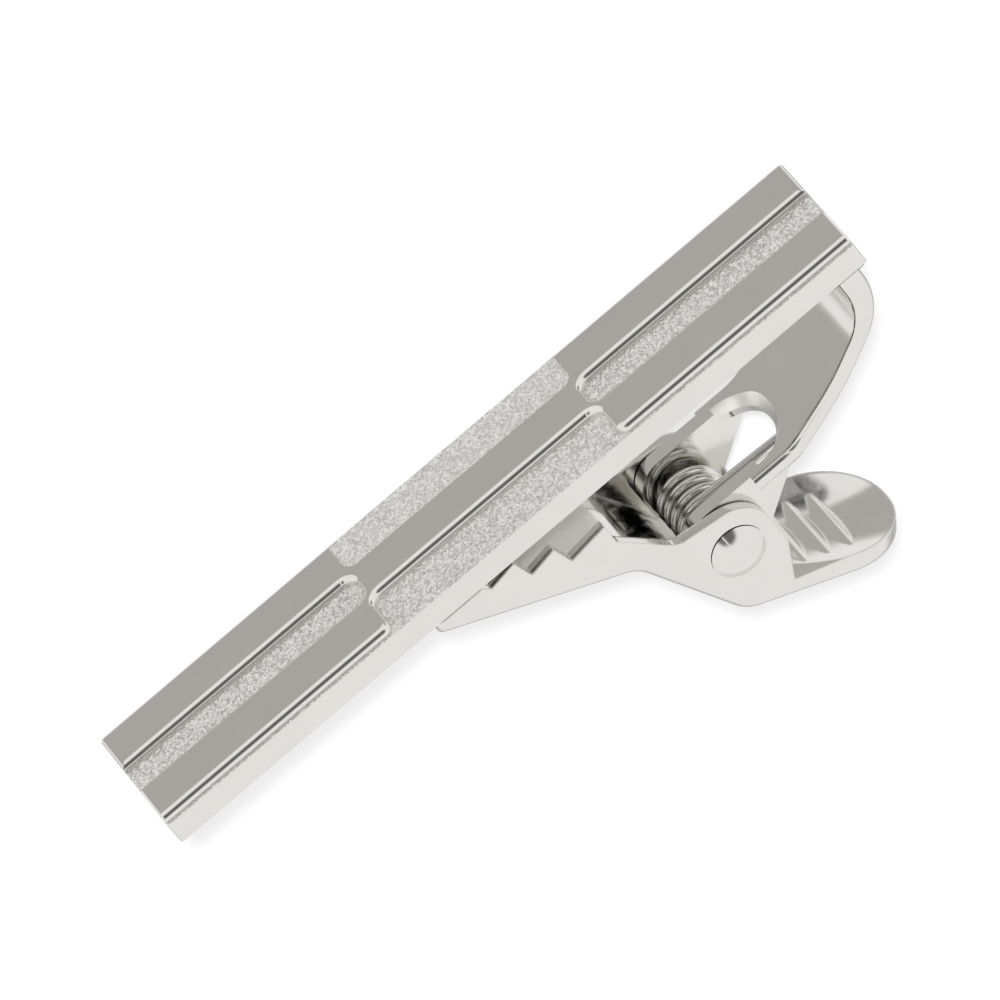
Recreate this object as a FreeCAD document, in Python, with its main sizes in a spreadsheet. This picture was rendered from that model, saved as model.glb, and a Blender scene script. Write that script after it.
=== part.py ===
import FreeCAD, Part
import math
import os
import re

import Sketcher
from FreeCAD import Placement, Rotation, Vector

# Tie clip as it is worn: +Z is up, the decorated face looks along -Y, the bar lies along X.
# The hinge end is at -X and the free end, where the tie goes in, is at +X.
# The origin is the centre of the front face. All lengths are millimetres, all angles degrees.

doc = FreeCAD.newDocument("tie_clip")
sheet = doc.addObject("Spreadsheet::Sheet", "dims")

DRIVING = {
    # front bar and its relief
    "bar_length": 42.0,
    "bar_width": 7.3,
    "bar_thick": 1.9,
    "bar_corner": 0.12,
    "bar_edge": 0.12,
    "relief_edge": 0.35,
    "back_edge": 0.08,
    "relief_depth": 0.45,
    "relief_corner": 0.65,
    "relief_step": 0.5,
    "recess_step": 0.33,
    "upper_stripe": 2.7,
    "channel_wide": 1.74,
    "lower_stripe": 2.71,
    "panel_half": 6.95,
    "panel_depth": 0.06,
    # bow arm: foot, run, tail, flat end with two ears
    "bow_width": 6.6,
    "bow_thick": 0.85,
    "bow_edge": 0.35,
    "foot_thick": 1.3,
    "foot_inset": 0.5,
    "foot_rise": 3.04,
    "foot_bend": 3.8,
    "foot_inner_bend": 2.9,
    "run_reach": 4.1,
    "run_slope": 33.0,
    "tail_slope": 23.0,
    "bow_bend": 14.0,
    "flat_bend": 2.2,
    "window_end": 8.05,
    "window_flat": 0.32,
    "window_edge": 0.45,
    "neck_start": 10.65,
    "neck_step": 0.43,
    "ear_root": 10.0,
    "ear_thick": 0.8,
    "ear_rise": 2.5,
    "ear_radius": 1.9,
    "ear_low": 1.6,
    "ear_corner": 1.75,
    "ear_slope": 40.0,
    "solder_leg": 0.3,
    "solder_land": 0.04,
    # hinge line, measured from the bar's hinge end and from its front face
    "pivot_inset": 13.3,
    "pivot_depth": 10.75,
    "pin_radius": 0.8,
    "pin_play": 0.05,
    "head_radius": 1.43,
    "head_height": 0.6,
    "head_play": 0.05,
    # jaw and lever, one stamping
    "ear_play": 0.08,
    "sheet_metal": 0.6,
    "bend_outside": 0.5,
    "jaw_gap": 0.05,
    "tip_ahead": 13.2,
    "tip_height": 0.72,
    "tip_corner": 0.25,
    "jaw_slope": 29.4,
    "neck_slope": 67.3,
    "lever_slope": 27.5,
    "knee_ahead": 4.23,
    "neck_length": 7.08,
    "knee_bend": 2.0,
    "heel_bend": 2.0,
    "seat_length": 3.2,
    "tooth_pitch": 1.85,
    "tooth_run": 1.53,
    "last_tooth_run": 2.2,
    "tooth_height": 0.33,
    "valley_depth": 0.42,
    "valley_step": 0.98,
    "jaw_ear": 2.15,
    "jaw_ear_back": 1.55,
    "shoulder_ahead": 2.05,
    "shoulder_above": 2.8,
    "shoulder_corner": 0.8,
    "throat_drop": 1.3,
    "throat_corner": 0.4,
    "notch_corner": 1.0,
    "notch_foot": 2.35,
    # thumb tray at the end of the lever: a shallow dish, deeper towards its round end
    "lever_reach": 9.0,
    "tray_start": 0.9,
    "tray_lap": 0.05,
    "tray_flat": 0.15,
    "rim_start": 0.2,
    "rim_tilt": 4.6,
    "rim_dish": 20.0,
    "tray_dish": 10.5,
    "dish_back": 3.3,
    "grip_back": 3.07,
    "grip_pitch": 1.24,
    "grip_wide": 1.2,
    "grip_rise": 0.3,
    "grip_round": 0.25,
    "grip_inset": 0.65,
    # torsion spring
    "wire_thick": 0.55,
    "coil_radius": 1.5,
    "coil_gap": 0.42,
    "coil_play": 0.12,
    "near_leg_inset": 1.27,
    "near_leg": 6.05,
    "near_leg_tilt": 2.4,
    "far_leg": 4.0,
    "far_leg_slope": 42.8,
}

GRIP_COUNT = 3
TOOTH_COUNT = 3
SAMPLES_PER_ARC = 16
TOLERANCE = 1e-6

FORMULAS = {
    "hinge_end": "-bar_length / 2",
    "bar_top": "bar_width / 2",
    "stripe_low_z": "-bar_width / 2 + upper_stripe",
    "channel_top_z": "stripe_low_z + channel_wide",
    "lip_z": "channel_top_z + lower_stripe",
    "pivot_x": "hinge_end + pivot_inset",
    "pivot_y": "pivot_depth",
    "foot_outer_x": "hinge_end + foot_inset",
    "foot_inner_x": "foot_outer_x + foot_thick",
    "foot_knee_y": "bar_thick + foot_rise",
    "run_end_x": "foot_outer_x + run_reach",
    "run_end_y": "foot_knee_y + run_reach * tan(run_slope * 1 deg)",
    "flat_front_y": "pivot_y - ear_rise",
    "flat_back_y": "flat_front_y + bow_thick",
    "flat_start_x": "run_end_x + (flat_back_y - run_end_y) / tan(tail_slope * 1 deg)",
    "window_x": "hinge_end + window_end",
    "neck_x": "hinge_end + neck_start",
    "ear_outside": "bow_width / 2 - neck_step",
    "ear_inside": "ear_outside - ear_thick",
    "window_corner": "ear_inside - window_flat",
    "jaw_top": "ear_outside + ear_play + sheet_metal",
    "jaw_width": "2 * jaw_top",
    "tray_corner": "jaw_top - tray_flat",
    "tray_centre": "lever_reach - dish_back",
    "grip_half": "jaw_top - grip_inset",
    "rim_rise": "rim_start + lever_reach * tan(rim_tilt * 1 deg)",
    "head_sphere": "(head_radius * head_radius + head_height * head_height) / (2 * head_height)",
    "near_leg_z": "ear_inside - near_leg_inset",
    "far_leg_z": "wire_thick / 2 + coil_play - ear_inside",
    "contact_y": "bar_thick + jaw_gap",
    "tip_x": "pivot_x + tip_ahead",
    "tip_back_y": "contact_y + tip_height",
    "knee_x": "pivot_x + knee_ahead",
    "knee_y": "tip_back_y + (tip_x - knee_x) * tan(jaw_slope * 1 deg)",
    "heel_x": "knee_x - neck_length * cos(neck_slope * 1 deg)",
    "heel_y": "knee_y + neck_length * sin(neck_slope * 1 deg)",
}


def add_cell(row, name, content):
    sheet.set("A%d" % row, name)
    sheet.set("B%d" % row, content)
    sheet.setAlias("B%d" % row, name)


for row, (name, value) in enumerate(DRIVING.items(), start=1):
    add_cell(row, name, str(value))
for row, (name, formula) in enumerate(FORMULAS.items(), start=len(DRIVING) + 1):
    add_cell(row, name, "=" + formula)
doc.recompute()

KNOWN = set(DRIVING) | set(FORMULAS)


def bound(text):
    """The expression with each size named by its cell in the sheet."""
    return re.sub(r"\b[a-z]\w*\b", lambda word: "dims." + word[0] if word[0] in KNOWN else word[0], text)


def size(text):
    """The expression's value in the sheet as it stands."""
    return float(sheet.evalExpression(bound(text).replace("dims.", "")))


def bind(target, prop, text):
    target.setExpression(prop, bound(text))


def new_body(label):
    body = doc.addObject("PartDesign::Body", label)
    body.Label = label
    return body


def origin_plane(body, role):
    return next(item for item in body.Origin.OriginFeatures if item.Role == role)


def attach(body, name, role):
    sketch = body.newObject("Sketcher::SketchObject", name)
    sketch.AttachmentSupport = [(origin_plane(body, role), "")]
    sketch.MapMode = "FlatFace"
    return sketch


def hold(sketch, geometry, vertex, x, y):
    """Ties one sketch vertex to two expressions."""
    place = sketch.getPoint(geometry, vertex)
    for axis, text, value in (("X", x, place.x), ("Y", y, place.y)):
        index = sketch.addConstraint(Sketcher.Constraint("Distance" + axis, -1, 1, geometry, vertex, value))
        name = "p%d_%d_%s" % (geometry, vertex, axis.lower())
        sketch.renameConstraint(index, name)
        bind(sketch, "Constraints." + name, text)


def corner_rounding(before, here, after, radius):
    """Where the rounding of a corner starts and ends, its centre, and whether it turns left."""
    back = (before - here).normalize()
    ahead = (after - here).normalize()
    half_angle = back.getAngle(ahead) / 2
    trim = radius / math.tan(half_angle)
    centre = here + (back + ahead).normalize() * (radius / math.sin(half_angle))
    turns_left = back.cross(ahead).z < 0
    return here + back * trim, here + ahead * trim, centre, turns_left


def outline(sketch, corners):
    """A closed outline through corners (x, y) or rounded corners (x, y, radius), all as expressions."""
    count = len(corners)
    points = [Vector(size(corner[0]), size(corner[1]), 0) for corner in corners]
    radii = [size(corner[2]) if len(corner) > 2 else 0 for corner in corners]
    rounds = {}
    for i, radius in enumerate(radii):
        if radius:
            rounds[i] = corner_rounding(points[i - 1], points[i], points[(i + 1) % count], radius)
    lines = []
    for i in range(count):
        nxt = (i + 1) % count
        start = rounds[i][1] if i in rounds else points[i]
        end = rounds[nxt][0] if nxt in rounds else points[nxt]
        lines.append(sketch.addGeometry(Part.LineSegment(start, end), False))
    for i in range(count):
        arriving, leaving = lines[i - 1], lines[i]
        if i not in rounds:
            sketch.addConstraint(Sketcher.Constraint("Coincident", arriving, 2, leaving, 1))
            hold(sketch, leaving, 1, corners[i][0], corners[i][1])
            continue
        first, last, centre, turns_left = rounds[i]
        start, end = (first, last) if turns_left else (last, first)
        angles = [math.atan2(p.y - centre.y, p.x - centre.x) for p in (start, end)]
        circle = Part.Circle(centre, Vector(0, 0, 1), radii[i])
        arc = sketch.addGeometry(Part.ArcOfCircle(circle, angles[0], angles[1]), False)
        arc_first, arc_last = (1, 2) if turns_left else (2, 1)
        corner = sketch.addGeometry(Part.Point(points[i]), True)
        hold(sketch, corner, 1, corners[i][0], corners[i][1])
        sketch.addConstraint(Sketcher.Constraint("PointOnObject", corner, 1, arriving))
        sketch.addConstraint(Sketcher.Constraint("PointOnObject", corner, 1, leaving))
        sketch.addConstraint(Sketcher.Constraint("Tangent", arriving, 2, arc, arc_first))
        sketch.addConstraint(Sketcher.Constraint("Tangent", leaving, 1, arc, arc_last))
        index = sketch.addConstraint(Sketcher.Constraint("Radius", arc, radii[i]))
        name = "r%d" % arc
        sketch.renameConstraint(index, name)
        bind(sketch, "Constraints." + name, corners[i][2])
    return sketch


def circle(sketch, x, y, radius):
    centre = Vector(size(x), size(y), 0)
    index = sketch.addGeometry(Part.Circle(centre, Vector(0, 0, 1), size(radius)), False)
    hold(sketch, index, 3, x, y)
    constraint = sketch.addConstraint(Sketcher.Constraint("Radius", index, size(radius)))
    sketch.renameConstraint(constraint, "round")
    bind(sketch, "Constraints.round", radius)
    return sketch


def extrude(body, kind, sketch, name, length, side="One side", reversed_way=False):
    """A pad or pocket; a feature that leaves the volume as it was is a mistake in its direction."""
    before = body.Shape.Volume if body.Tip else 0.0
    feature = body.newObject("PartDesign::" + kind, name)
    feature.Profile = sketch
    feature.SideType = side
    feature.Reversed = reversed_way
    bind(feature, "Length", length)
    doc.recompute()
    change = body.Shape.Volume - before
    if (change > TOLERANCE) != (kind == "Pad") or abs(change) < TOLERANCE:
        raise RuntimeError("%s changed the volume by %g" % (name, change))
    return feature


def pad(body, sketch, name, length, side="Symmetric", reversed_way=False):
    return extrude(body, "Pad", sketch, name, length, side, reversed_way)


def pocket(body, sketch, name, length, side="Symmetric", reversed_way=False):
    return extrude(body, "Pocket", sketch, name, length, side, reversed_way)


def ease_edges(body, kind, prop, name, amount, chosen):
    base = body.Tip
    names = ["Edge%d" % (i + 1) for i, edge in enumerate(base.Shape.Edges) if chosen(edge)]
    if not names:
        raise RuntimeError("%s found no edge" % name)
    feature = body.newObject("PartDesign::" + kind, name)
    feature.Base = (base, names)
    bind(feature, prop, amount)
    doc.recompute()
    return feature


def round_edges(body, name, radius, chosen):
    """Rounds each edge of the body so far for which chosen(edge) is true."""
    return ease_edges(body, "Fillet", "Radius", name, radius, chosen)


def bevel_edges(body, name, wide, chosen):
    """Bevels each edge of the body so far for which chosen(edge) is true."""
    return ease_edges(body, "Chamfer", "Size", name, wide, chosen)


def in_plane(edge, axis, place, slack=1e-4):
    """True when the whole edge lies in the plane where that coordinate has that value."""
    box = edge.BoundBox
    low, high = {"X": (box.XMin, box.XMax), "Y": (box.YMin, box.YMax), "Z": (box.ZMin, box.ZMax)}[axis]
    return abs(low - place) < slack and abs(high - place) < slack


def middle(edge):
    return edge.valueAt((edge.FirstParameter + edge.LastParameter) / 2)


def offset_corner(x, y, first_slope, second_slope, offset, side):
    """The corner (x, y) of two straight runs, moved to the runs' parallels at that distance."""
    spread = "(1 + cos((%s - %s) * 1 deg))" % (first_slope, second_slope)
    across = "(sin(%s * 1 deg) + sin(%s * 1 deg))" % (first_slope, second_slope)
    along = "(cos(%s * 1 deg) + cos(%s * 1 deg))" % (first_slope, second_slope)
    return ("%s %s %s * %s / %s" % (x, side, offset, across, spread),
            "%s - %s * %s / %s" % (y, offset, along, spread))


# Front bar: a flat bar with stepped relief, thirds along its length


def make_front_bar():
    body = new_body("front_bar")
    plan = outline(attach(body, "bar_plan", "XZ_Plane"), [
        ("hinge_end", "-bar_top", "bar_corner"),
        ("-hinge_end", "-bar_top", "bar_corner"),
        ("-hinge_end", "bar_top", "bar_corner"),
        ("hinge_end", "bar_top", "bar_corner"),
    ])
    pad(body, plan, "bar_block", "bar_thick", "One side", True)
    for end, name in (("-", "free"), ("", "hinge")):
        inner = "-panel_half" if end == "" else "panel_half"
        outer = end + "hinge_end" + (" - 1" if end == "" else " + 1")
        channel = outline(attach(body, name + "_channel_plan", "XZ_Plane"), [
            (inner, "stripe_low_z", "relief_corner"),
            (outer, "stripe_low_z"),
            (outer, "channel_top_z"),
            (inner, "channel_top_z", "relief_corner"),
        ])
        pocket(body, channel, name + "_channel", "relief_depth", "One side")
    step = outline(attach(body, "lip_plan", "XZ_Plane"), [
        ("hinge_end - 1", "lip_z"),
        ("-panel_half", "lip_z", "relief_step"),
        ("-panel_half", "channel_top_z + recess_step", "relief_corner"),
        ("panel_half", "channel_top_z + recess_step", "relief_corner"),
        ("panel_half", "lip_z", "relief_step"),
        ("-hinge_end + 1", "lip_z"),
        ("-hinge_end + 1", "bar_top + 1"),
        ("hinge_end - 1", "bar_top + 1"),
    ])
    pocket(body, step, "lip", "relief_depth", "One side")
    back = size("bar_thick")
    bevel_edges(body, "back_bevel", "back_edge", lambda edge: in_plane(edge, "Y", back))
    top = size("bar_top")
    end = size("hinge_end")

    def outer(edge):
        spot = middle(edge)
        return top - abs(spot.z) < 1e-4 or -end - abs(spot.x) < 1e-4

    round_edges(body, "relief_rounding", "relief_edge", lambda edge: in_plane(edge, "Y", 0) and not outer(edge))
    bevel_edges(body, "rim_bevel", "bar_edge", lambda edge: in_plane(edge, "Y", 0) and outer(edge))
    panel = outline(attach(body, "upper_panel_plan", "XZ_Plane"), [
        ("-panel_half", "-bar_top - 1"),
        ("panel_half", "-bar_top - 1"),
        ("panel_half", "stripe_low_z - relief_edge", "relief_corner"),
        ("-panel_half", "stripe_low_z - relief_edge", "relief_corner"),
    ])
    pocket(body, panel, "upper_panel", "panel_depth", "One side")
    return body


# Bow arm: one strip that stands on the bar's back, bends over and ends in two ears


def make_bow_arm():
    body = new_body("bow_arm")
    run_inner = offset_corner("run_end_x", "run_end_y", "run_slope", "tail_slope", "bow_thick", "+")
    flat_inner = offset_corner("flat_start_x", "flat_back_y", "tail_slope", "0", "bow_thick", "+")
    knee_inner_y = ("foot_knee_y + foot_thick * tan(run_slope * 1 deg)"
                    " - bow_thick / cos(run_slope * 1 deg)")
    flat_end = "pivot_x - ear_radius"
    ear_root = "hinge_end + ear_root"
    side = outline(attach(body, "bow_side", "XY_Plane"), [
        ("foot_outer_x", "bar_thick"),
        ("foot_outer_x", "foot_knee_y", "foot_bend"),
        ("run_end_x", "run_end_y", "bow_bend"),
        ("flat_start_x", "flat_back_y", "flat_bend"),
        (flat_end, "flat_back_y"),
        (flat_end, "flat_front_y"),
        (flat_inner[0], flat_inner[1], "flat_bend + bow_thick"),
        (run_inner[0], run_inner[1], "bow_bend - bow_thick"),
        ("foot_inner_x", knee_inner_y, "foot_inner_bend"),
        ("foot_inner_x", "bar_thick"),
    ])
    pad(body, side, "bow_strip", "bow_width")
    window = outline(attach(body, "window_plan", "XZ_Plane"), [
        ("window_x", "-ear_inside", "window_corner"),
        (flat_end + " + 1", "-ear_inside"),
        (flat_end + " + 1", "ear_inside"),
        ("window_x", "ear_inside", "window_corner"),
    ])
    pocket(body, window, "spring_window", "pivot_y + 2", "One side")
    for sign, name in (("", "upper"), ("-", "lower")):
        neck = outline(attach(body, name + "_neck_plan", "XZ_Plane"), [
            ("neck_x", sign + "(bow_width / 2 + 1)"),
            ("neck_x", sign + "ear_outside"),
            (flat_end + " + 1", sign + "ear_outside"),
            (flat_end + " + 1", sign + "(bow_width / 2 + 1)"),
        ])
        pocket(body, neck, name + "_neck", "pivot_y + 2", "One side")
    inside = size("ear_inside")
    window_start = size("window_x")
    flat_edge = size(flat_end)
    front_slack = size("bow_thick / 2")
    front = size("flat_front_y")
    tail, tail_end = math.radians(size("tail_slope")), size(flat_inner[0])

    def on_window(edge):
        spot = middle(edge)
        fall = min(0.0, spot.x - tail_end) * math.tan(tail)
        in_window = abs(spot.z) < inside + TOLERANCE and window_start - TOLERANCE < spot.x < flat_edge - TOLERANCE
        return in_window and edge.Length > front_slack and abs(spot.y - front - fall) < front_slack

    bevel_edges(body, "window_bevel", "window_edge", on_window)
    ear_foot = "pivot_x - ear_radius * tan((90 - ear_slope) / 2 * 1 deg)"
    flat_middle = "(flat_front_y + flat_back_y) / 2"
    ear = outline(attach(body, "ear_side", "XY_Plane"), [
        (ear_root, "flat_front_y"),
        ("pivot_x + ear_radius", "flat_front_y", "ear_corner"),
        ("pivot_x + ear_radius", "pivot_y + ear_low", "ear_corner"),
        (ear_foot, "pivot_y + ear_low", "ear_corner"),
        (ear_foot + " - (pivot_y + ear_low - %s) / tan(ear_slope * 1 deg)" % flat_middle, flat_middle),
        (ear_root, flat_middle),
    ])
    bind(ear, "AttachmentOffset.Base.z", "ear_inside")
    features = [pad(body, ear, "ear_plate", "ear_thick", "One side")]
    mirrored = body.newObject("PartDesign::Mirrored", "far_ear")
    mirrored.Originals = features
    mirrored.MirrorPlane = (origin_plane(body, "XY_Plane"), [""])
    body.Tip = mirrored
    doc.recompute()
    hole = circle(attach(body, "ear_hole_plan", "XY_Plane"), "pivot_x", "pivot_y", "pin_radius + pin_play")
    pocket(body, hole, "ear_holes", "jaw_width")
    half = size("bow_width / 2")
    foot = size("bar_thick")
    neck_end = size("neck_x")

    def on_strip(edge):
        spot = middle(edge)
        across = in_plane(edge, "Y", foot) or in_plane(edge, "X", neck_end)
        return in_plane(edge, "Z", math.copysign(half, spot.z)) and not across

    round_edges(body, "strip_rounding", "bow_edge", on_strip)
    return body


# Solder bead where the bow's foot stands on the bar


def make_solder_bead():
    body = new_body("solder_bead")
    ring = outline(attach(body, "bead_plan", "XZ_Plane"), [
        ("foot_outer_x - solder_leg", "-bow_width / 2 - solder_leg"),
        ("foot_inner_x + solder_leg", "-bow_width / 2 - solder_leg"),
        ("foot_inner_x + solder_leg", "bow_width / 2 + solder_leg"),
        ("foot_outer_x - solder_leg", "bow_width / 2 + solder_leg"),
    ])
    bind(ring, "AttachmentOffset.Base.z", "-bar_thick")
    bead = pad(body, ring, "bead", "solder_leg - solder_land", "One side", True)
    bead.TaperAngle = -45
    doc.recompute()
    hole = outline(attach(body, "foot_plan", "XZ_Plane"), [
        ("foot_outer_x", "-bow_width / 2"),
        ("foot_inner_x", "-bow_width / 2"),
        ("foot_inner_x", "bow_width / 2"),
        ("foot_outer_x", "bow_width / 2"),
    ])
    pocket(body, hole, "foot_hole", "bar_thick + foot_rise", "One side")
    return body


# Jaw and lever: one stamped channel, toothed at the front, with ears at the hinge and a thumb tray


def jaw_outline_corners():
    """Side outline of the channel: tip, back, neck, hinge ear, then the toothed edge."""
    heel_in = offset_corner("heel_x", "heel_y", "neck_slope", "lever_slope", "sheet_metal", "-")

    heel_end = on_lever(heel_in, "tray_start + tray_lap", "-sheet_metal")
    floor_end = on_lever(heel_in, "tray_start + tray_lap", "0")
    notch = on_lever(heel_in, "notch_foot", "0")
    ear_back = "pivot_x - jaw_ear"
    seat_end = "tip_x - seat_length"
    corners = [
        ("tip_x", "contact_y"),
        ("tip_x", "tip_back_y", "tip_corner"),
        ("knee_x", "knee_y", "knee_bend"),
        ("heel_x", "heel_y", "heel_bend"),
        heel_end,
        floor_end,
        notch,
        (ear_back, "pivot_y + jaw_ear_back", "notch_corner"),
        (ear_back, "pivot_y - jaw_ear", "jaw_ear"),
        ("pivot_x + shoulder_ahead", "pivot_y - shoulder_above", "shoulder_corner"),
    ]
    teeth = []
    for i in range(TOOTH_COUNT):
        valley_x = "%s - %d * tooth_pitch" % (seat_end, i)
        valley_y = "contact_y + valley_depth + %d * valley_step" % i
        run = "last_tooth_run" if i == TOOTH_COUNT - 1 else "tooth_run"
        crest = "max(contact_y; %s - tooth_height)" % valley_y
        teeth += [(valley_x, valley_y), ("%s - %s" % (valley_x, run), crest)]
    throat = (teeth[-1][0], "%s + throat_drop" % teeth[-1][1], "throat_corner")
    return corners + [throat] + teeth[::-1] + [(seat_end + " + valley_depth", "contact_y")]


def on_back(edge, path):
    """True for an edge on the channel's outer back, within the reach of its bends."""
    spot = middle(edge)
    for start, end in zip(path, path[1:]):
        along = end - start
        share = max(0.0, min(1.0, (spot - start).dot(along) / along.dot(along)))
        gap = spot - (start + along * share)
        if math.hypot(gap.x, gap.y) < size("heel_bend") * 0.1:
            return True
    return False


def make_jaw_lever():
    body = new_body("jaw_lever")
    corners = jaw_outline_corners()
    pad(body, outline(attach(body, "jaw_side", "XY_Plane"), corners), "jaw_block", "jaw_width")
    knee_in = offset_corner("knee_x", "knee_y", "jaw_slope", "neck_slope", "sheet_metal", "-")
    heel_in = offset_corner("heel_x", "heel_y", "neck_slope", "lever_slope", "sheet_metal", "-")
    tip_in_y = "tip_back_y - sheet_metal / cos(jaw_slope * 1 deg) - tan(jaw_slope * 1 deg)"
    lever_out = ("%s - lever_reach" % heel_in[0], "%s + lever_reach * tan(lever_slope * 1 deg)" % heel_in[1])
    channel = outline(attach(body, "channel_side", "XY_Plane"), [
        ("tip_x + 1", tip_in_y),
        (knee_in[0], knee_in[1], "knee_bend + sheet_metal"),
        (heel_in[0], heel_in[1], "heel_bend - sheet_metal"),
        lever_out,
        (lever_out[0], "-bar_thick"),
        ("tip_x + 1", "-bar_thick"),
    ])
    pocket(body, channel, "channel", "jaw_width - 2 * sheet_metal")
    back_path = [Vector(size(x), size(y), 0) for x, y in (
        ("tip_x", "tip_back_y"), ("knee_x", "knee_y"), ("heel_x", "heel_y"), corners[4])]
    rim = size("jaw_top")
    round_edges(body, "channel_bends", "bend_outside", lambda edge: abs(abs(middle(edge).z) - rim) < 1e-4
                and in_plane(edge, "Z", middle(edge).z) and on_back(edge, back_path))
    joined = body.newObject("PartDesign::Boolean", "channel_and_tray")
    joined.Type = "Fuse"
    joined.setObjects([make_tray(heel_in)])
    doc.recompute()
    hole = circle(attach(body, "jaw_hole_plan", "XY_Plane"), "pivot_x", "pivot_y", "pin_radius + pin_play")
    pocket(body, hole, "jaw_holes", "jaw_width + 2")
    return body


def on_lever(heel_in, reach, rise):
    """The point at that reach along the lever's floor and that height over it, as expressions."""
    return ("%s - (%s) * cos(lever_slope * 1 deg) - (%s) * sin(lever_slope * 1 deg)" % (heel_in[0], reach, rise),
            "%s + (%s) * sin(lever_slope * 1 deg) - (%s) * cos(lever_slope * 1 deg)" % (heel_in[1], reach, rise))


def lever_sketch(body, name, role, heel_in, reach, rise, tilt="0"):
    """A sketch turned with the lever, less the tilt, with its origin on the lever."""
    sketch = attach(body, name, role)
    sketch.AttachmentOffset = Placement(Vector(), Rotation(Vector(0, 1, 0), 0))
    bind(sketch, "AttachmentOffset.Rotation.Angle", "%s - lever_slope" % tilt)
    x, y = on_lever(heel_in, reach, rise)
    if role == "XZ_Plane":
        bind(sketch, "AttachmentOffset.Base.x", x)
        bind(sketch, "AttachmentOffset.Base.z", "-(%s)" % y)
    else:
        bind(sketch, "AttachmentOffset.Base.x", y)
        bind(sketch, "AttachmentOffset.Base.z", x)
    return sketch


def make_tray(heel_in):
    """The lever's end: a thick round-ended plate, dished on the inside, with grip ribs."""
    body = new_body("tray")
    plan = outline(lever_sketch(body, "tray_plan", "XZ_Plane", heel_in, "0", "-sheet_metal"), [
        ("-tray_start", "jaw_top"),
        ("-lever_reach", "jaw_top", "tray_corner"),
        ("-lever_reach", "-jaw_top", "tray_corner"),
        ("-tray_start", "-jaw_top"),
    ])
    pad(body, plan, "tray_plate", "sheet_metal + rim_rise", "One side")
    trough = circle(lever_sketch(body, "dish_section", "YZ_Plane", heel_in, "tray_centre", "0"),
                    "-tray_dish", "0", "tray_dish")
    pocket(body, trough, "dish", "tray_centre", "One side", True)
    bowl = body.newObject("PartDesign::SubtractiveSphere", "dish_end")
    x, y = on_lever(heel_in, "tray_centre", "tray_dish")
    bind(bowl, "Radius", "tray_dish")
    bind(bowl, "Placement.Base.x", x)
    bind(bowl, "Placement.Base.y", y)
    doc.recompute()
    rim_sag = "rim_start - jaw_top * jaw_top / (2 * rim_dish)"
    rim = circle(lever_sketch(body, "rim_section", "YZ_Plane", heel_in, "0", rim_sag, "rim_tilt"),
                 "-rim_dish", "0", "rim_dish")
    pocket(body, rim, "rim_slope", "3 * lever_reach")
    grip_ribs(body, heel_in)
    under = [Vector(size(x), size(y), 0) for x, y in (
        on_lever(heel_in, "0", "-sheet_metal"), on_lever(heel_in, "lever_reach", "-sheet_metal"))]
    start_x = size(on_lever(heel_in, "tray_start", "-sheet_metal")[0])
    round_edges(body, "tray_bends", "bend_outside", lambda edge: on_back(edge, under)
                and abs(middle(edge).x - start_x) > TOLERANCE ** 0.5)
    return body


def grip_ribs(body, heel_in):
    """Raised ribs across the dish, which run out into its sides."""
    for i in range(GRIP_COUNT):
        crest = "lever_reach - grip_back - %d * grip_pitch" % i
        sketch = outline(attach(body, "grip_side_%d" % (i + 1), "XY_Plane"), [
            on_lever(heel_in, crest + " - grip_wide / 2", "-sheet_metal / 2"),
            on_lever(heel_in, crest + " - grip_wide / 2", "0"),
            on_lever(heel_in, crest, "grip_rise") + ("grip_round",),
            on_lever(heel_in, crest + " + grip_wide / 2", "0"),
            on_lever(heel_in, crest + " + grip_wide / 2", "-sheet_metal / 2"),
        ])
        pad(body, sketch, "grip_%d" % (i + 1), "2 * grip_half")


# Hinge rivet: a plain pin with a domed head on each side


def make_hinge_rivet():
    body = new_body("hinge_rivet")
    under_head = "(jaw_top + head_play)"
    pin = body.newObject("PartDesign::AdditiveCylinder", "pin")
    bind(pin, "Radius", "pin_radius")
    bind(pin, "Height", "2 * " + under_head)
    bind(pin, "Placement.Base.z", "-" + under_head)
    doc.recompute()
    head = body.newObject("PartDesign::AdditiveSphere", "near_head")
    bind(head, "Radius", "head_sphere")
    bind(head, "Angle1", "asin((head_sphere - head_height) / head_sphere)")
    bind(head, "Placement.Base.z", under_head + " + head_height - head_sphere")
    doc.recompute()
    mirrored = body.newObject("PartDesign::Mirrored", "far_head")
    mirrored.Originals = [head]
    mirrored.MirrorPlane = (origin_plane(body, "XY_Plane"), [""])
    body.Tip = mirrored
    bind(body, "Placement.Base.x", "pivot_x")
    bind(body, "Placement.Base.y", "pivot_y")
    doc.recompute()
    return body


# Torsion spring: one wire, a straight leg under the bow, open turns on the pin, a leg in the tray


def spring_stations():
    """Points and directions along the wire's centre line: two leg ends and each quarter turn."""
    pivot = Vector(size("pivot_x"), size("pivot_y"), 0)
    radius = size("coil_radius")
    first = -90 - size("near_leg_tilt")
    near_z, far_z = size("near_leg_z"), size("far_leg_z")
    part_turn = 90 - size("far_leg_slope") - first
    room = (near_z - far_z) / size("wire_thick + coil_gap")
    last = first + part_turn + 360 * math.floor(room - part_turn / 360)
    quarters = math.ceil((last - first) / 90)
    climb = (far_z - near_z) / math.radians(last - first)
    stations = []
    for i in range(quarters + 1):
        share = i / quarters
        turn = math.radians(first + (last - first) * share)
        place = pivot + Vector(radius * math.cos(turn), radius * math.sin(turn), near_z + (far_z - near_z) * share)
        flat_end = i in (0, quarters)
        way = Vector(-radius * math.sin(turn), radius * math.cos(turn), 0 if flat_end else climb)
        stations.append((place, way.normalize()))
    return stations


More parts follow.
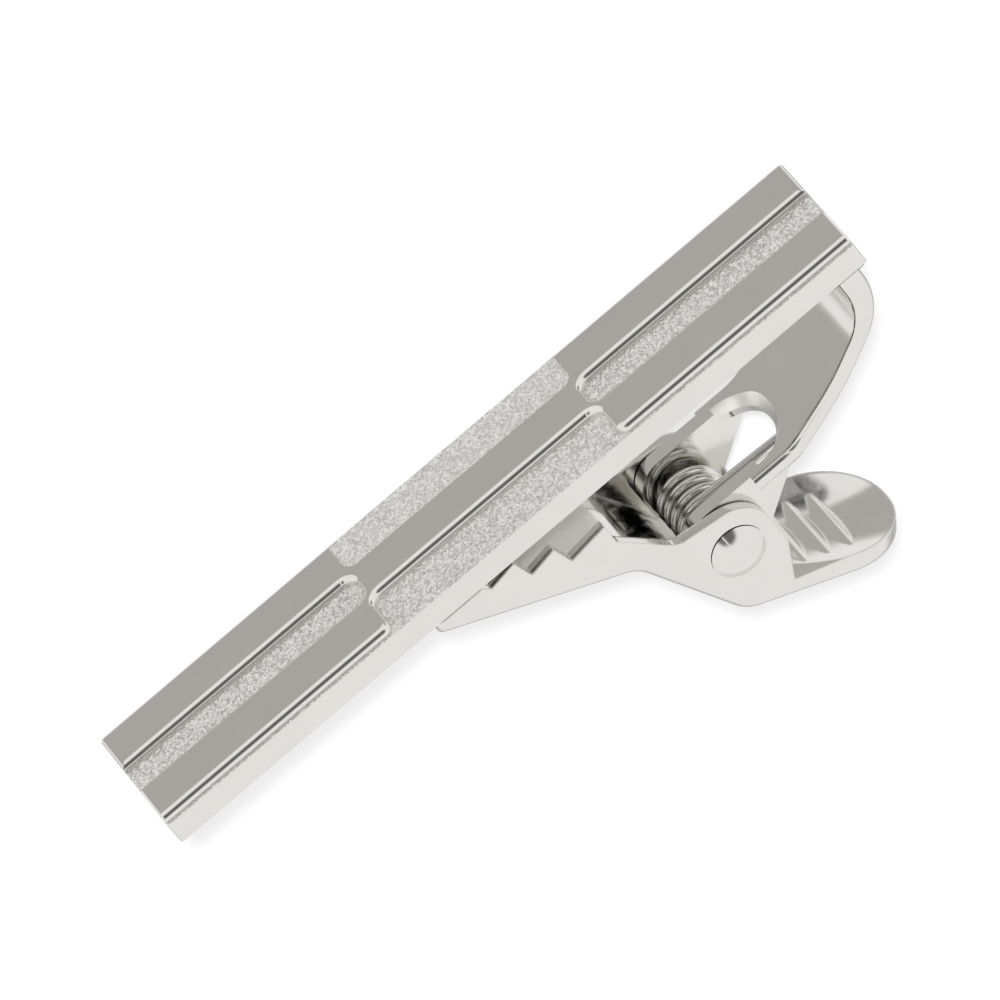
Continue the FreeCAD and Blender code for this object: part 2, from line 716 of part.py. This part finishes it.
def tangent_arc(start, corner, end):
    """The arc from start to end that touches the lines to their common corner, equally far from both."""
    chord_middle = (start + end) * 0.5
    half_chord = (end - start).Length / 2
    lean = math.acos(min(1.0, half_chord / (corner - start).Length))
    sagitta = half_chord * math.tan(lean / 2)
    top = chord_middle + (corner - chord_middle).normalize() * sagitta
    return Part.Arc(start, top, end).toShape()


def biarc(start, start_way, end, end_way):
    """Two tangent arcs between two points with given directions."""
    span = end - start
    sum_way = start_way + end_way
    bend = 2 * (1 - start_way.dot(end_way))
    reach = (math.sqrt(span.dot(sum_way) ** 2 + bend * span.dot(span)) - span.dot(sum_way)) / bend
    first_corner = start + start_way * reach
    last_corner = end - end_way * reach
    joint = (first_corner + last_corner) * 0.5
    return [tangent_arc(start, first_corner, joint), tangent_arc(joint, last_corner, end)]


def wire_gap(edges, thick):
    """Least clear distance between stretches of the wire more than half a turn apart."""
    points, lengths, run = [], [], 0.0
    for edge in edges:
        for i in range(SAMPLES_PER_ARC):
            share = i / SAMPLES_PER_ARC
            points.append(edge.valueAt(edge.FirstParameter + share * (edge.LastParameter - edge.FirstParameter)))
            lengths.append(run + share * edge.Length)
        run += edge.Length
    apart = math.pi * size("coil_radius")
    return min((points[i] - points[j]).Length for i in range(len(points)) for j in range(i)
               if lengths[i] - lengths[j] > apart) - thick


def make_torsion_spring():
    stations = spring_stations()
    thick = size("wire_thick")
    first, first_way = stations[0]
    last, last_way = stations[-1]
    edges = [Part.makeLine(first - first_way * size("near_leg"), first)]
    for (start, start_way), (end, end_way) in zip(stations, stations[1:]):
        edges += biarc(start, start_way, end, end_way)
    edges.append(Part.makeLine(last, last + last_way * size("far_leg")))
    path = Part.Wire(edges)
    circle_edge = Part.makeCircle(thick / 2, first - first_way * size("near_leg"), first_way)
    spring = doc.addObject("Part::Feature", "torsion_spring")
    spring.Label = "torsion_spring"
    spring.Shape = path.makePipeShell([Part.Wire([circle_edge])], True, False)
    ideal = math.pi * thick ** 2 / 4 * path.Length
    print("spring wire %.2f mm long, volume %.4f of section times length" % (path.Length, spring.Shape.Volume / ideal))
    print("least gap of the spring to itself %.3f mm" % wire_gap(edges, thick))
    return spring


parts = [
    make_front_bar(),
    make_bow_arm(),
    make_solder_bead(),
    make_jaw_lever(),
    make_hinge_rivet(),
    make_torsion_spring(),
]
doc.recompute()

for item in doc.Objects:
    if "Invalid" in item.State or "Error" in item.State:
        raise RuntimeError("%s failed: %s" % (item.Label, item.State))
for part in parts:
    if part.Shape.isNull() or not part.Shape.isValid():
        raise RuntimeError("%s has no valid shape" % part.Label)

os.makedirs("parts", exist_ok=True)
for part in parts:
    part.Shape.exportStep("parts/%s.step" % part.Label)
    box = part.Shape.BoundBox
    print("%-16s %d solid(s) %8.3f mm3  X %.2f..%.2f  Y %.2f..%.2f  Z %.2f..%.2f" % (
        part.Label, len(part.Shape.Solids), part.Shape.Volume,
        box.XMin, box.XMax, box.YMin, box.YMax, box.ZMin, box.ZMax))
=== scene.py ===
import math

import bpy
from mathutils import Matrix, Vector


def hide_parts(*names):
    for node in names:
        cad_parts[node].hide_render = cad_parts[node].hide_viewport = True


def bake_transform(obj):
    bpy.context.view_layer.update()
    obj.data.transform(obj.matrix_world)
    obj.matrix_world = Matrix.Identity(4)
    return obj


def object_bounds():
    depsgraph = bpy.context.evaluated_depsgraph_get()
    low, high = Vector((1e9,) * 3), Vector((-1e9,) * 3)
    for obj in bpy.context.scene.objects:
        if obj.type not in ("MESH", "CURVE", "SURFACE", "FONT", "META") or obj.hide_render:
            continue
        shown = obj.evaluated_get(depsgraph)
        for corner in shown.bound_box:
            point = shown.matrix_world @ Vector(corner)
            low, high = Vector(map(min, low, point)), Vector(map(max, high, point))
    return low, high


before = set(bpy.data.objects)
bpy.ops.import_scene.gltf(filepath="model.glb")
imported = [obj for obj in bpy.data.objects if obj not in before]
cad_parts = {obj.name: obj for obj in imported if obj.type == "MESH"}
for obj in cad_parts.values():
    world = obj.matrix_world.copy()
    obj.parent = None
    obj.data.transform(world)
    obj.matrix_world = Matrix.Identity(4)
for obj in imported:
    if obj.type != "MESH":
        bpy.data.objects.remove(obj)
cad_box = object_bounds()

MM = 0.001
WHITE = (1, 1, 1, 1)

# View: a long lens in front of the bar, 47.5 degrees above the normal of its face
VIEW_ELEVATION = math.radians(47.5)
VIEW_RISE, VIEW_REACH = math.sin(VIEW_ELEVATION), math.cos(VIEW_ELEVATION)
VIEW_BACK = Vector((0, -VIEW_REACH, VIEW_RISE))
VIEW_ROLL_COS, VIEW_ROLL_SIN = 0.7626, 0.64687
VIEW_AIM = Vector((-0.684, 0.894, 0.819)) * MM
VIEW_DISTANCE = 0.7
VIEW_LENS, VIEW_SENSOR = 538.0, 36.0
VIEW_CLIP_START, VIEW_CLIP_END = 0.01, 10.0

# Studio: a white tent. A pair says where a region of it begins and where it is full, along X, Y or
# Z of the direction looked in, or along that direction's closeness to the region's own.
OPENING_NEAR = 0.83, 0.955
OPENING_SIDE = 0.56, 0.44
OPENING_STRIP_X = 0.16
OPENING_STRIP = 0.01, 0.06
OPENING_DIM = 0.84
TABLE_LOW = -0.55, -0.60
TABLE_FRONT = -0.05, -0.22
TABLE_DIM = 0.485
TABLE_TINT = (1.0, 0.96, 0.94)
CLOTH_WAY = Vector((-0.701, -0.606, -0.372)).normalized()
CLOTH_NEAR = 0.977, 0.986
CLOTH_FOLD_SCALE = 20.0
CLOTH_FOLD_NOISE = 0.4, 0.6
CLOTH_DIM = 0.38, 0.95
ROOM_BACK = 0.12, 0.5
ROOM_LOW = 0.12, -0.3
ROOM_DIM = 0.45

# Lamp: a soft sun just under the lens
LAMP_ELEVATION = math.radians(43.5)
LAMP_SIZE = math.radians(5)
LAMP_STRENGTH = 9.0

# Floor: paper that is white to the camera and keeps the shadow
FLOOR_HALF = 3.0
FLOOR_COLOUR = (0.1, 0.1, 0.1, 1)
FLOOR_GLOW = 0.76

# Plate: bright white plating, with slow waves from the buffing wheel and a fine haze
PLATE_COLOUR = (0.755, 0.745, 0.715)
PLATE_NOISE = 0.3, 0.7
PLATE_TONE = 0.97, 1.0
WAVE_SCALE, WAVE_DEPTH = 420.0, 0.02 * MM
HAZE_SCALE, HAZE_DEPTH, HAZE_STRENGTH = 5200.0, 0.004 * MM, 0.02
EDGE_SAMPLES = 6

# Jaw: tumbling rounds its edges, and the inside of its mouth, with the teeth, stays matt
JAW_EDGE = 0.2 * MM
MOUTH_FROM = -3.5 * MM
MOUTH_SIDE = 3.28 * MM
MOUTH_FACING_Y, MOUTH_FACING_Z = 0.3, 0.6
MOUTH_ROUGHNESS, MOUTH_METAL = 0.42, 0.91

# Bow: the pressed edge at the end of its window isn't polished
WINDOW_FROM, WINDOW_TO = -13.9 * MM, -10.3 * MM
WINDOW_SIDE = 2.62 * MM
WINDOW_FACING_X = 0.62
WINDOW_FACING_Z, WINDOW_WALL_Z = 0.25, 0.95
WINDOW_ROUGHNESS, WINDOW_METAL = 0.34, 0.78

# Relief of the bar: the blasted floors lie between these depths behind the front face
BLAST_FROM, BLAST_TO = 0.03 * MM, 0.6 * MM
BLAST_FACING = -0.97
BLAST_GRAIN = 10000.0
BLAST_TILT = 0.62
BLAST_COLOUR = (0.755, 0.745, 0.725, 1)
BLAST_ROUGHNESS, BLAST_METAL = 0.5, 0.95

# Spring: the sizes of its solid, with one turn more
SPRING_PIVOT = Vector((-7.7, 10.75, 0)) * MM
SPRING_WIRE = 0.55 * MM
SPRING_COIL = 1.5 * MM
SPRING_NEAR_Z, SPRING_FAR_Z = 0.8 * MM, -1.675 * MM
SPRING_FIRST = math.radians(-90 - 2.4)
SPRING_LAST = math.radians(90 - 42.8 + 1080)
SPRING_NEAR_LEG, SPRING_FAR_LEG = 6.05 * MM, 4.0 * MM
SPRING_COIL_STEPS, SPRING_LEG_STEPS = 160, 12
SPRING_SIDES = 20
SPRING_SHARP = math.radians(50)


# Nodes


def empty_tree(owner):
    owner.use_nodes = True
    owner.node_tree.nodes.clear()
    return owner.node_tree


def add_node(tree, kind, inputs=None, **settings):
    node = tree.nodes.new(kind)
    for name, value in settings.items():
        setattr(node, name, value)
    for name, value in (inputs or {}).items():
        if isinstance(value, bpy.types.NodeSocket):
            tree.links.new(value, node.inputs[name])
        else:
            node.inputs[name].default_value = value
    return node


def math_node(tree, operation, *values, clamp=False):
    node = add_node(tree, "ShaderNodeMath", dict(enumerate(values)),
                    operation=operation, use_clamp=clamp)
    return node.outputs[0]


def vector_node(tree, operation, inputs):
    node = add_node(tree, "ShaderNodeVectorMath", inputs, operation=operation)
    return node.outputs["Value" if operation == "DOT_PRODUCT" else "Vector"]


def above(tree, value, limit):
    return math_node(tree, "GREATER_THAN", value, limit)


def below(tree, value, limit):
    return math_node(tree, "LESS_THAN", value, limit)


def without_sign(tree, value):
    return math_node(tree, "ABSOLUTE", value)


def product(tree, first, *others):
    for other in others:
        first = math_node(tree, "MULTIPLY", first, other)
    return first


def remainder(tree, mask, share):
    """What is left of the light where a mask takes this share of it."""
    return math_node(tree, "SUBTRACT", 1.0, product(tree, mask, share))


def smooth_step(tree, value, span):
    node = add_node(tree, "ShaderNodeMapRange",
                    {"Value": value, "From Min": span[0], "From Max": span[1]},
                    interpolation_type="SMOOTHSTEP")
    return node.outputs["Result"]


def rescale(tree, value, span, target):
    node = add_node(tree, "ShaderNodeMapRange",
                    {"Value": value, "From Min": span[0], "From Max": span[1],
                     "To Min": target[0], "To Max": target[1]})
    return node.outputs["Result"]


def noise(tree, vector, scale, detail, roughness=0.5):
    node = add_node(tree, "ShaderNodeTexNoise",
                    {"Vector": vector, "Scale": scale, "Detail": detail, "Roughness": roughness})
    return node.outputs["Fac"]


def mix_number(tree, factor, first, second):
    node = add_node(tree, "ShaderNodeMix", {"Factor": factor, "A": first, "B": second},
                    data_type="FLOAT")
    return node.outputs["Result"]


def mix_shader(tree, factor, first, second):
    node = add_node(tree, "ShaderNodeMixShader", {"Fac": factor, 1: first, 2: second})
    return node.outputs["Shader"]


# Materials


def plate_shader(tree, place, wave, gloss, edge=0.0):
    """Polished plate; gloss is its range of roughness, and edge the radius of its edges."""
    slow = noise(tree, place, WAVE_SCALE, detail=1.0)
    fine = noise(tree, place, HAZE_SCALE, detail=3.0, roughness=0.6)
    waves = add_node(tree, "ShaderNodeBump",
                     {"Strength": wave, "Distance": WAVE_DEPTH, "Height": slow})
    if edge:
        rounding = add_node(tree, "ShaderNodeBevel", {"Radius": edge}, samples=EDGE_SAMPLES)
        tree.links.new(rounding.outputs["Normal"], waves.inputs["Normal"])
    haze = add_node(tree, "ShaderNodeBump",
                    {"Strength": HAZE_STRENGTH, "Distance": HAZE_DEPTH, "Height": fine,
                     "Normal": waves.outputs["Normal"]})
    tone = rescale(tree, slow, PLATE_NOISE, PLATE_TONE)
    colour = vector_node(tree, "SCALE", {0: PLATE_COLOUR, "Scale": tone})
    return add_node(tree, "ShaderNodeBsdfPrincipled",
                    {"Base Color": colour, "Metallic": 1.0,
                     "Roughness": rescale(tree, fine, PLATE_NOISE, gloss),
                     "Normal": haze.outputs["Normal"]})


def plate_material(name, wave, gloss, edge=0.0):
    material = bpy.data.materials.new(name)
    tree = empty_tree(material)
    place = add_node(tree, "ShaderNodeTexCoord").outputs["Object"]
    shader = plate_shader(tree, place, wave, gloss, edge)
    add_node(tree, "ShaderNodeOutputMaterial", {"Surface": shader.outputs["BSDF"]})
    return material


def place_and_facing(tree):
    """Where a point of the piece lies and which way it faces, each as X, Y and Z."""
    coords = add_node(tree, "ShaderNodeTexCoord")
    place = add_node(tree, "ShaderNodeSeparateXYZ", {0: coords.outputs["Object"]})
    facing = add_node(tree, "ShaderNodeSeparateXYZ", {0: coords.outputs["Normal"]})
    return place.outputs, facing.outputs


def make_matt(tree, where, roughness, metal):
    """Dulls the plate where the mask is 1."""
    shader = next(node for node in tree.nodes if node.type == "BSDF_PRINCIPLED")
    polish = shader.inputs["Roughness"].links[0].from_socket
    tree.links.new(mix_number(tree, where, polish, roughness), shader.inputs["Roughness"])
    tree.links.new(mix_number(tree, where, 1.0, metal), shader.inputs["Metallic"])


def jaw_material():
    """Polished plate, matt inside the mouth."""
    material = plate_material("jaw_plate", wave=0.12, gloss=(0.08, 0.14), edge=JAW_EDGE)
    tree = material.node_tree
    place, facing = place_and_facing(tree)
    mouth = product(tree,
                    above(tree, place["X"], MOUTH_FROM),
                    below(tree, without_sign(tree, place["Z"]), MOUTH_SIDE),
                    below(tree, facing["Y"], MOUTH_FACING_Y),
                    below(tree, without_sign(tree, facing["Z"]), MOUTH_FACING_Z))
    make_matt(tree, mouth, MOUTH_ROUGHNESS, MOUTH_METAL)
    return material


def bow_material():
    """Polished plate, matt on the edge at the end of the spring's window."""
    material = plate_material("bow_plate", wave=0.6, gloss=(0.08, 0.14))
    tree = material.node_tree
    place, facing = place_and_facing(tree)
    sideways = without_sign(tree, facing["Z"])
    slanting = math_node(tree, "MAXIMUM",
                         above(tree, facing["X"], WINDOW_FACING_X),
                         above(tree, sideways, WINDOW_FACING_Z))
    edge = product(tree,
                   above(tree, place["X"], WINDOW_FROM),
                   below(tree, place["X"], WINDOW_TO),
                   below(tree, without_sign(tree, place["Z"]), WINDOW_SIDE),
                   slanting,
                   below(tree, sideways, WINDOW_WALL_Z))
    make_matt(tree, edge, WINDOW_ROUGHNESS, WINDOW_METAL)
    return material


def blasted_shader(tree, place, normal):
    """Sand-blasted plate: each pit leans its own way."""
    pits = add_node(tree, "ShaderNodeTexVoronoi", {"Vector": place, "Scale": BLAST_GRAIN})
    spread = vector_node(tree, "SUBTRACT", {0: pits.outputs["Color"], 1: (0.5, 0.5, 0.5)})
    tilt = vector_node(tree, "SCALE", {0: spread, "Scale": BLAST_TILT})
    leaning = vector_node(tree, "NORMALIZE", {0: vector_node(tree, "ADD", {0: tilt, 1: normal})})
    return add_node(tree, "ShaderNodeBsdfPrincipled",
                    {"Base Color": BLAST_COLOUR, "Metallic": BLAST_METAL,
                     "Roughness": BLAST_ROUGHNESS, "Normal": leaning})


def bar_material():
    """Polished plate, with sand-blasted floors in the relief."""
    material = bpy.data.materials.new("bar_plate")
    tree = empty_tree(material)
    coords = add_node(tree, "ShaderNodeTexCoord").outputs
    polished = plate_shader(tree, coords["Object"], wave=0.05, gloss=(0.07, 0.12))
    blasted = blasted_shader(tree, coords["Object"], coords["Normal"])
    place, facing = place_and_facing(tree)
    floors = product(tree,
                     above(tree, place["Y"], BLAST_FROM),
                     below(tree, place["Y"], BLAST_TO),
                     below(tree, facing["Y"], BLAST_FACING))
    surface = mix_shader(tree, floors, polished.outputs["BSDF"], blasted.outputs["BSDF"])
    add_node(tree, "ShaderNodeOutputMaterial", {"Surface": surface})
    return material


def dress(node, material):
    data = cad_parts[node].data
    data.materials.clear()
    data.materials.append(material)


# Spring


def spring_path():
    """Centre line of the wire: straight leg, even turns, straight leg."""
    def on_coil(share):
        turn = SPRING_FIRST + (SPRING_LAST - SPRING_FIRST) * share
        rise = SPRING_NEAR_Z + (SPRING_FAR_Z - SPRING_NEAR_Z) * share
        return SPRING_PIVOT + Vector((SPRING_COIL * math.cos(turn),
                                      SPRING_COIL * math.sin(turn), rise))

    def way(turn):
        return Vector((-math.sin(turn), math.cos(turn), 0))

    coil = [on_coil(i / SPRING_COIL_STEPS) for i in range(SPRING_COIL_STEPS + 1)]
    near = [coil[0] - way(SPRING_FIRST) * SPRING_NEAR_LEG * i / SPRING_LEG_STEPS
            for i in range(SPRING_LEG_STEPS, 0, -1)]
    far = [coil[-1] + way(SPRING_LAST) * SPRING_FAR_LEG * i / SPRING_LEG_STEPS
           for i in range(1, SPRING_LEG_STEPS + 1)]
    return near + coil + far


def make_spring(material):
    """The wire, which stands for the spring's solid."""
    path = spring_path()
    last = len(path) - 1
    vertices, faces = [], []
    side = Vector((0, 0, 1))
    for i, point in enumerate(path):
        ahead = path[min(i + 1, last)] - path[max(i - 1, 0)]
        ahead.normalize()
        side = (side - ahead * side.dot(ahead)).normalized()
        across = ahead.cross(side)
        for k in range(SPRING_SIDES):
            angle = 2 * math.pi * k / SPRING_SIDES
            outward = side * math.cos(angle) + across * math.sin(angle)
            vertices.append(point + outward * SPRING_WIRE / 2)
    for i in range(last):
        here, beyond = i * SPRING_SIDES, (i + 1) * SPRING_SIDES
        for k in range(SPRING_SIDES):
            beside = (k + 1) % SPRING_SIDES
            faces.append((here + k, here + beside, beyond + beside, beyond + k))
    faces.append(tuple(reversed(range(SPRING_SIDES))))
    faces.append(tuple(last * SPRING_SIDES + k for k in range(SPRING_SIDES)))
    mesh = bpy.data.meshes.new("spring_wire")
    mesh.from_pydata(vertices, [], faces)
    mesh.shade_smooth()
    mesh.set_sharp_from_angle(angle=SPRING_SHARP)
    mesh.materials.append(material)
    piece = bpy.data.objects.new("spring_wire", mesh)
    bpy.context.scene.collection.objects.link(piece)
    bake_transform(piece)
    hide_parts("torsion_spring")


# Floor, light and camera


def floor_material():
    """White to the camera, clear to mirrored rays, and otherwise a dark paper that takes shadow."""
    material = bpy.data.materials.new("floor_paper")
    tree = empty_tree(material)
    path = add_node(tree, "ShaderNodeLightPath").outputs
    paper = add_node(tree, "ShaderNodeBsdfDiffuse", {"Color": FLOOR_COLOUR}).outputs["BSDF"]
    glow = add_node(tree, "ShaderNodeEmission", {"Color": WHITE, "Strength": FLOOR_GLOW})
    seen = add_node(tree, "ShaderNodeAddShader", {0: paper, 1: glow.outputs["Emission"]})
    clear = add_node(tree, "ShaderNodeBsdfTransparent").outputs["BSDF"]
    plain = mix_shader(tree, path["Is Camera Ray"], paper, seen.outputs["Shader"])
    surface = mix_shader(tree, path["Is Glossy Ray"], plain, clear)
    add_node(tree, "ShaderNodeOutputMaterial", {"Surface": surface})
    return material


def make_floor():
    level = cad_box[0][2]
    corners = [(-FLOOR_HALF, -FLOOR_HALF, level), (FLOOR_HALF, -FLOOR_HALF, level),
               (FLOOR_HALF, FLOOR_HALF, level), (-FLOOR_HALF, FLOOR_HALF, level)]
    mesh = bpy.data.meshes.new("floor")
    mesh.from_pydata(corners, [], [(0, 1, 2, 3)])
    mesh.materials.append(floor_material())
    floor = bpy.data.objects.new("floor", mesh)
    bpy.context.scene.collection.objects.link(floor)


def make_world():
    """A white tent that the plate mirrors.

    It has a dark opening where the camera stands, with a white strip in it, a warm grey table in
    front and below, a folded dark cloth beside the table, and a grey room behind.
    """
    world = bpy.data.worlds.new("studio")
    bpy.context.scene.world = world
    tree = empty_tree(world)
    way = add_node(tree, "ShaderNodeTexCoord").outputs["Generated"]
    parts = add_node(tree, "ShaderNodeSeparateXYZ", {0: way}).outputs

    def closeness(to):
        return vector_node(tree, "DOT_PRODUCT", {0: way, 1: to})

    off_strip = without_sign(tree, math_node(tree, "SUBTRACT", parts["X"], OPENING_STRIP_X))
    opening = product(tree,
                      smooth_step(tree, closeness(VIEW_BACK), OPENING_NEAR),
                      smooth_step(tree, without_sign(tree, parts["X"]), OPENING_SIDE),
                      smooth_step(tree, off_strip, OPENING_STRIP))
    table = product(tree,
                    smooth_step(tree, parts["Z"], TABLE_LOW),
                    smooth_step(tree, parts["Y"], TABLE_FRONT))
    cloth = smooth_step(tree, closeness(CLOTH_WAY), CLOTH_NEAR)
    folds = rescale(tree, noise(tree, way, CLOTH_FOLD_SCALE, detail=2.0),
                    CLOTH_FOLD_NOISE, CLOTH_DIM)
    room = product(tree,
                   smooth_step(tree, parts["Y"], ROOM_BACK),
                   smooth_step(tree, parts["Z"], ROOM_LOW))
    light = product(tree,
                    remainder(tree, table, TABLE_DIM),
                    remainder(tree, opening, OPENING_DIM),
                    remainder(tree, cloth, folds),
                    remainder(tree, room, ROOM_DIM))

    to_camera = add_node(tree, "ShaderNodeLightPath").outputs["Is Camera Ray"]
    strength = mix_number(tree, to_camera, light, 1.0)
    warm = math_node(tree, "SUBTRACT", table, to_camera, clamp=True)
    # A colour mix has its colours on inputs 6 and 7 and its result on output 2
    tint = add_node(tree, "ShaderNodeMix", {"Factor": warm, 6: WHITE, 7: TABLE_TINT + (1,)},
                    data_type="RGBA")
    back = add_node(tree, "ShaderNodeBackground",
                    {"Color": tint.outputs[2], "Strength": strength})
    add_node(tree, "ShaderNodeOutputWorld", {"Surface": back.outputs["Background"]})


def make_lamp():
    """Lights the floor, for the shadow, and the matt faces; the plate doesn't mirror it."""
    data = bpy.data.lights.new("lamp", "SUN")
    data.energy = LAMP_STRENGTH
    data.angle = LAMP_SIZE
    lamp = bpy.data.objects.new("lamp", data)
    lamp.rotation_euler = (math.pi / 2 - LAMP_ELEVATION, 0, 0)
    lamp.visible_glossy = False
    bpy.context.scene.collection.objects.link(lamp)


def make_camera():
    data = bpy.data.cameras.new("camera")
    data.lens = VIEW_LENS
    data.sensor_width = VIEW_SENSOR
    data.clip_start = VIEW_CLIP_START
    data.clip_end = VIEW_CLIP_END
    camera = bpy.data.objects.new("camera", data)
    bpy.context.scene.collection.objects.link(camera)
    along = Vector((1, 0, 0))
    across = Vector((0, VIEW_RISE, VIEW_REACH))
    right = -VIEW_ROLL_COS * along + VIEW_ROLL_SIN * across
    up = -VIEW_ROLL_SIN * along - VIEW_ROLL_COS * across
    turn = Matrix((right, up, VIEW_BACK)).transposed().to_4x4()
    camera.matrix_world = Matrix.Translation(VIEW_AIM + VIEW_BACK * VIEW_DISTANCE) @ turn
    bpy.context.scene.camera = camera


dress("front_bar", bar_material())
dress("hinge_rivet", plate_material("rivet_plate", wave=0.05, gloss=(0.08, 0.14)))
dress("solder_bead", plate_material("solder_plate", wave=0.5, gloss=(0.12, 0.2)))
dress("bow_arm", bow_material())
dress("jaw_lever", jaw_material())
make_spring(plate_material("spring_wire", wave=0.1, gloss=(0.18, 0.26)))
make_floor()
make_world()
make_lamp()
make_camera()
bpy.context.scene.view_settings.view_transform = "Standard"
